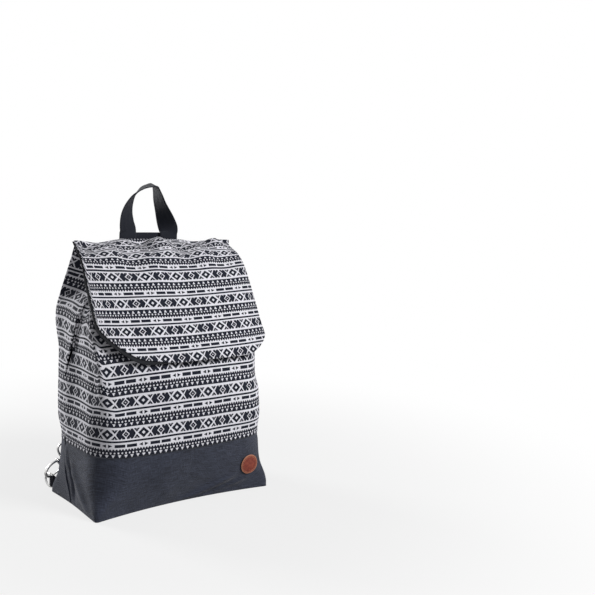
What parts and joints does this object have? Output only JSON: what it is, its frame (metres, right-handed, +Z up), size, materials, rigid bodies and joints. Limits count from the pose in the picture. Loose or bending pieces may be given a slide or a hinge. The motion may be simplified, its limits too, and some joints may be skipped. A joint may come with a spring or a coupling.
{
  "type": "backpack",
  "caption": "Soft flap-top backpack in woven geometric cloth with a plain canvas bottom, round leather patch, webbing carry handle and clip-on shoulder straps.",
  "frame": {"origin": "middle of the base, on the surface the bag stands on", "axes": "+Z up, front of the bag towards -Y, +X to the right seen from the front"},
  "size_m": [0.3076, 0.1851, 0.468],
  "materials": {
    "pattern_cloth": "black and white woven geometric bands, matt",
    "canvas": "dark grey melange canvas, matt",
    "black_cloth": "plain black cloth",
    "webbing": "black woven webbing",
    "leather": "reddish brown, plain, slightly glossy",
    "nickel": "polished nickel plate"
  },
  "bodies": {
    "bag": {"front_panel": "pattern_cloth", "back_panel": "pattern_cloth", "flap_outer": "pattern_cloth", "bottom_panel": "canvas", "lining": "black_cloth", "flap_lining": "black_cloth", "handle": "webbing", "back_strip": "webbing", "shoulder_strap_left": "webbing", "shoulder_strap_right": "webbing", "ring_tab_left": "webbing", "ring_tab_right": "webbing", "leather_patch": "leather", "clasp_socket": "nickel", "clasp_stud": "nickel", "strap_slider_left": "nickel", "strap_slider_right": "nickel", "swivel_eye_left": "nickel", "swivel_eye_right": "nickel"},
    "ring_left": {"d_ring_left": "nickel"},
    "hook_left": {"snap_hook_left": "nickel"},
    "gate_left": {"hook_gate_left": "nickel"},
    "ring_right": {"d_ring_right": "nickel"},
    "hook_right": {"snap_hook_right": "nickel"},
    "gate_right": {"hook_gate_right": "nickel"}
  },
  "joints": [
    {"name": "ring_swing_left", "type": "hinge", "parent": "bag", "child": "ring_left", "pos_m": [-0.14505, 0.07733, 0.0125], "axis": [0, 0, 1], "range_deg": [-10, 6]},
    {"name": "hook_swivel_left", "type": "hinge", "parent": "bag", "child": "hook_left", "pos_m": [-0.13821, 0.0859, 0.02855], "axis": [0.799, 0.0499, 0.5993], "range_deg": [-20, 20]},
    {"name": "gate_open_left", "type": "hinge", "parent": "hook_left", "child": "gate_left", "pos_m": [-0.1249, 0.0865, 0.03078], "axis": [-0.04, 0.9988, -0.03], "range_deg": [0, 28], "stiffness_Nm_per_rad": 0.01, "springref_deg": -17.19},
    {"name": "ring_swing_right", "type": "hinge", "parent": "bag", "child": "ring_right", "pos_m": [0.14505, 0.07733, 0.0125], "axis": [0, 0, -1], "range_deg": [-10, 6]},
    {"name": "hook_swivel_right", "type": "hinge", "parent": "bag", "child": "hook_right", "pos_m": [0.13821, 0.0859, 0.02855], "axis": [0.799, -0.0499, -0.5993], "range_deg": [-20, 20]},
    {"name": "gate_open_right", "type": "hinge", "parent": "hook_right", "child": "gate_right", "pos_m": [0.1249, 0.0865, 0.03078], "axis": [-0.04, -0.9988, 0.03], "range_deg": [0, 28], "stiffness_Nm_per_rad": 0.01, "springref_deg": -17.19}
  ]
}
